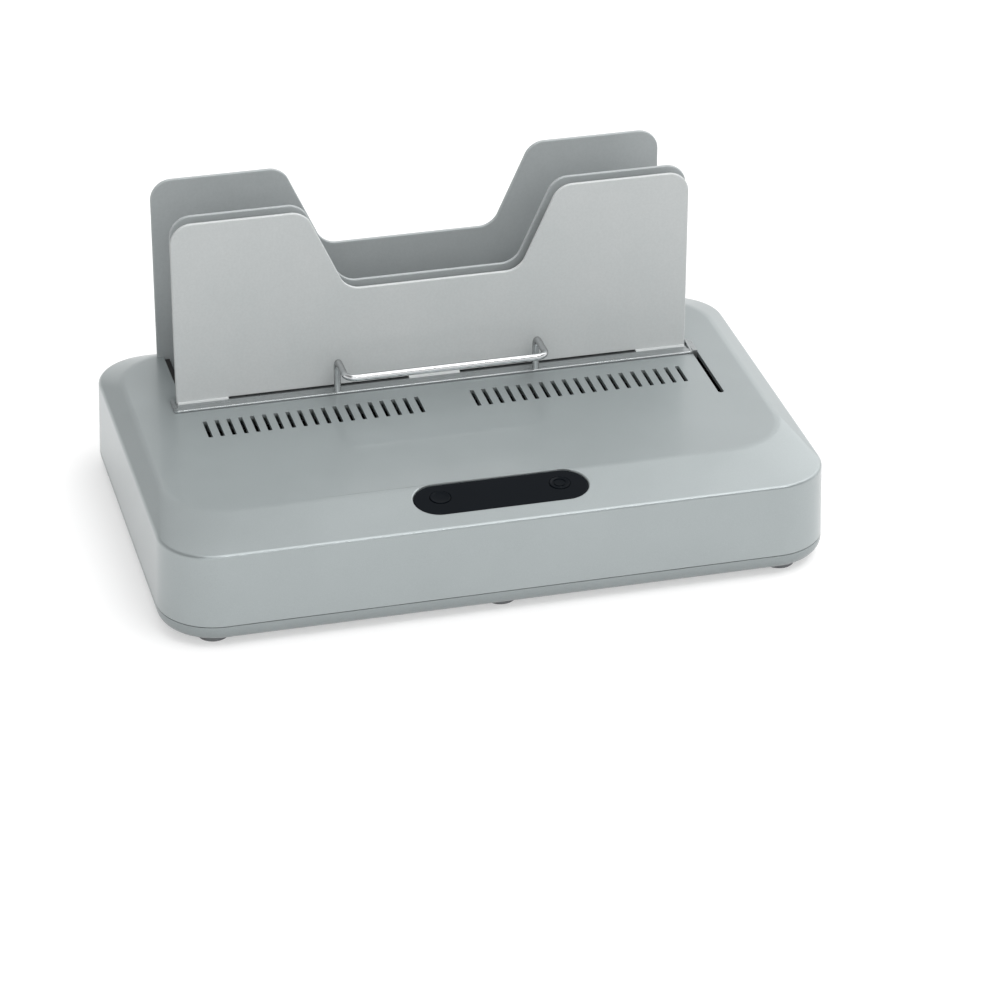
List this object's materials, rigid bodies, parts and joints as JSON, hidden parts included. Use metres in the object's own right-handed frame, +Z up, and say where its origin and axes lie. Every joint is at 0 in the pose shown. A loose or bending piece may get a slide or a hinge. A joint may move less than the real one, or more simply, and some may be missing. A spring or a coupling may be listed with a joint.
{
  "type": "thermal binding machine",
  "caption": "Desktop thermal binding machine with a heated well between upright plates and a sliding cooling rack.",
  "frame": {"origin": "on the table, under the middle of the body", "axes": "+X to the right as the user faces the machine, +Y to the rear, +Z up"},
  "size_m": [0.385, 0.252, 0.1765],
  "materials": {
    "cover_plastic": "fine moulded grain",
    "tray_plastic": "fine moulded grain",
    "foot_rubber": "matte",
    "plate_steel": "satin powder coat",
    "carriage_steel": "satin",
    "handle_wire": "polished",
    "rod_steel": "ground",
    "screw_steel": "zinc plated",
    "bushing_brass": "turned",
    "heater_aluminium": "mill finish",
    "frame_plastic": "glass filled",
    "element_rubber": "smooth silicone",
    "fuse_ceramic": "glazed",
    "lens_gloss": "high gloss",
    "board_laminate": "solder mask",
    "lamp_clear": "clear tinted",
    "black_plastic": "moulded",
    "terminal_plastic": "moulded"
  },
  "bodies": {
    "base": {"top_cover": "cover_plastic", "base_tray": "tray_plastic", "foot_front_left": "foot_rubber", "foot_front_centre": "foot_rubber", "foot_front_right": "foot_rubber", "foot_rear_left": "foot_rubber", "foot_rear_centre": "foot_rubber", "foot_rear_right": "foot_rubber", "rear_support_plate": "plate_steel", "middle_support_plate": "plate_steel", "front_rod_bracket": "carriage_steel", "rear_rod_bracket": "carriage_steel", "heat_shield": "carriage_steel", "fuse_strap": "carriage_steel", "guide_rod": "rod_steel", "cover_screws": "screw_steel", "bracket_screws": "screw_steel", "frame_screws": "screw_steel", "plate_screws": "screw_steel", "clamp_screws": "screw_steel", "heater_end_screws": "screw_steel", "board_screws": "screw_steel", "power_board_screws": "screw_steel", "element_clamps": "screw_steel", "thermostat": "screw_steel", "inlet_pins": "bushing_brass", "heater_plate": "heater_aluminium", "heater_frame": "frame_plastic", "heating_element": "element_rubber", "thermal_fuse": "fuse_ceramic", "panel_lens": "lens_gloss", "panel_board": "board_laminate", "power_board": "board_laminate", "status_lamps": "lamp_clear", "buzzer": "black_plastic", "start_switch": "black_plastic", "ready_switch": "black_plastic", "relay": "black_plastic", "transformer": "black_plastic", "power_inlet": "black_plastic", "power_switch": "black_plastic", "terminal_block": "terminal_plastic"},
    "rack": {"front_support_plate": "plate_steel", "rack_carriage": "carriage_steel", "wire_handle": "handle_wire", "slide_block": "frame_plastic", "slide_bushing": "bushing_brass"},
    "start_key": {"start_button": "lens_gloss", "start_plunger": "black_plastic"},
    "ready_key": {"ready_button": "lens_gloss", "ready_plunger": "black_plastic"},
    "rocker": {"power_rocker": "black_plastic"}
  },
  "joints": [
    {"name": "rack_slide", "type": "slide", "parent": "base", "child": "rack", "axis": [0, -1, 0], "range_m": [0, 0.048]},
    {"name": "start_press", "type": "slide", "parent": "base", "child": "start_key", "axis": [0, 0.1211, -0.9926], "range_m": [0, 0.0008], "stiffness_N_per_m": 400},
    {"name": "ready_press", "type": "slide", "parent": "base", "child": "ready_key", "axis": [0, 0.1211, -0.9926], "range_m": [0, 0.0008], "stiffness_N_per_m": 400},
    {"name": "rocker_tip", "type": "hinge", "parent": "base", "child": "rocker", "pos_m": [0.185, 0.048, 0.034], "axis": [0, 0, 1], "range_deg": [0, 20]}
  ]
}
